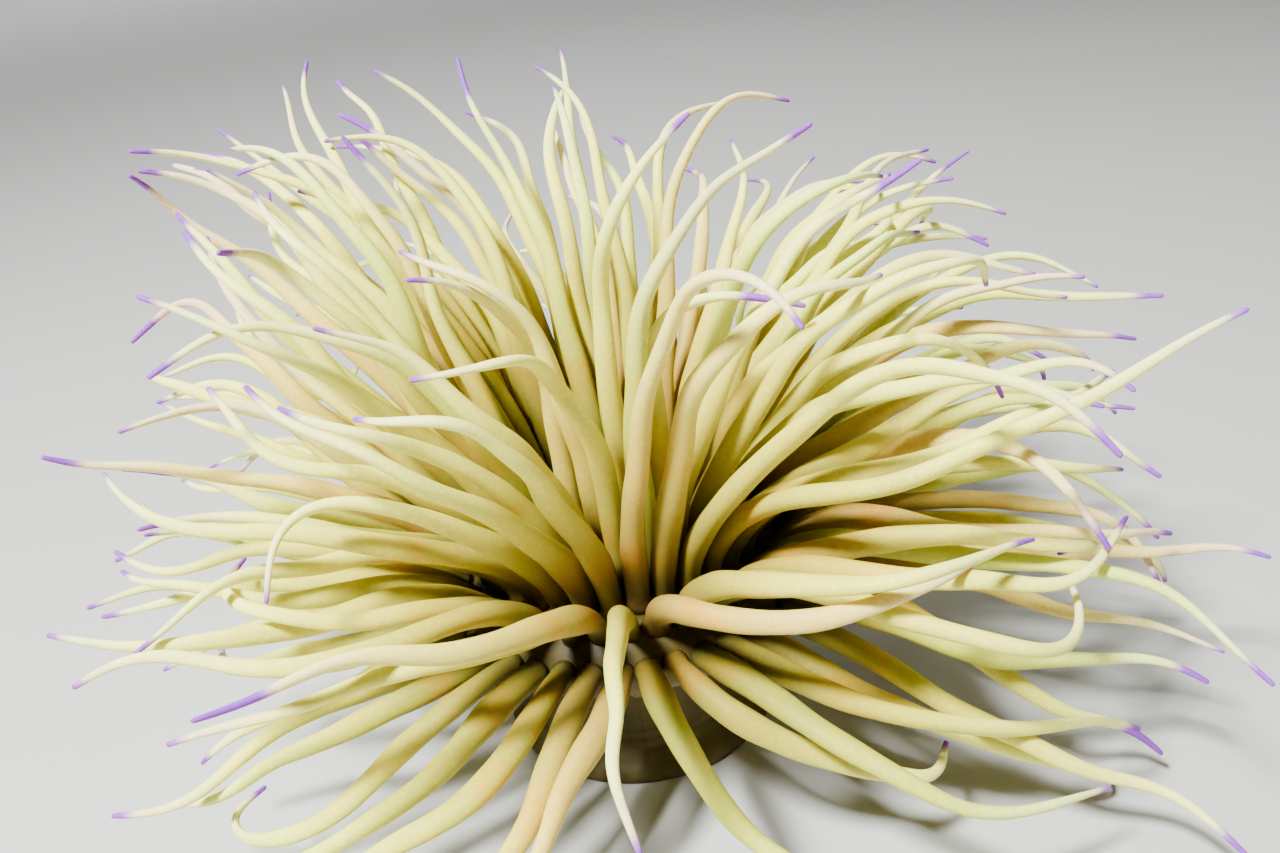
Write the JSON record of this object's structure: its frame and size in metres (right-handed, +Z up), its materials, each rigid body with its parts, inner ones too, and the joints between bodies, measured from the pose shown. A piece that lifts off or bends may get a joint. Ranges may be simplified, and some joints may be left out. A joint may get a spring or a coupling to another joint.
{
  "type": "sea anemone",
  "caption": "Life-size snakelocks anemone standing on its pedal disc: short flared column, wide oral disc and a dense crown of long wavy tapering tentacles swept outwards.",
  "frame": {"origin": "Centre of the flat underside of the pedal disc, at the level it stands on.", "axes": "+Z is up, out of the underside towards the mouth. -Y is the side that faces the camera of the picture. +X is to the right as seen from there."},
  "size_m": [0.2836, 0.2587, 0.1701],
  "materials": {
    "tentacle_flesh": "Soft, smooth, moist cream-yellow flesh, olive at the roots, paler outwards, with violet tips",
    "column_flesh": "Soft moist ochre-brown flesh with faint pale streaks up and down",
    "disc_flesh": "Soft moist olive-cream flesh with faint rays from the mouth"
  },
  "bodies": {
    "root": {"pedal_disc": "column_flesh", "column": "column_flesh", "oral_disc": "disc_flesh", "lips": "tentacle_flesh", "crown_inner_1": "tentacle_flesh", "crown_inner_2": "tentacle_flesh", "crown_inner_3": "tentacle_flesh", "crown_inner_4": "tentacle_flesh", "crown_inner_5": "tentacle_flesh", "crown_inner_6": "tentacle_flesh", "crown_middle_1": "tentacle_flesh", "crown_middle_2": "tentacle_flesh", "crown_middle_3": "tentacle_flesh", "crown_middle_4": "tentacle_flesh", "crown_middle_5": "tentacle_flesh", "crown_middle_6": "tentacle_flesh", "crown_margin_1": "tentacle_flesh", "crown_margin_2": "tentacle_flesh", "crown_margin_3": "tentacle_flesh", "crown_margin_4": "tentacle_flesh", "crown_margin_5": "tentacle_flesh", "crown_margin_6": "tentacle_flesh"}
  },
  "joints": []
}
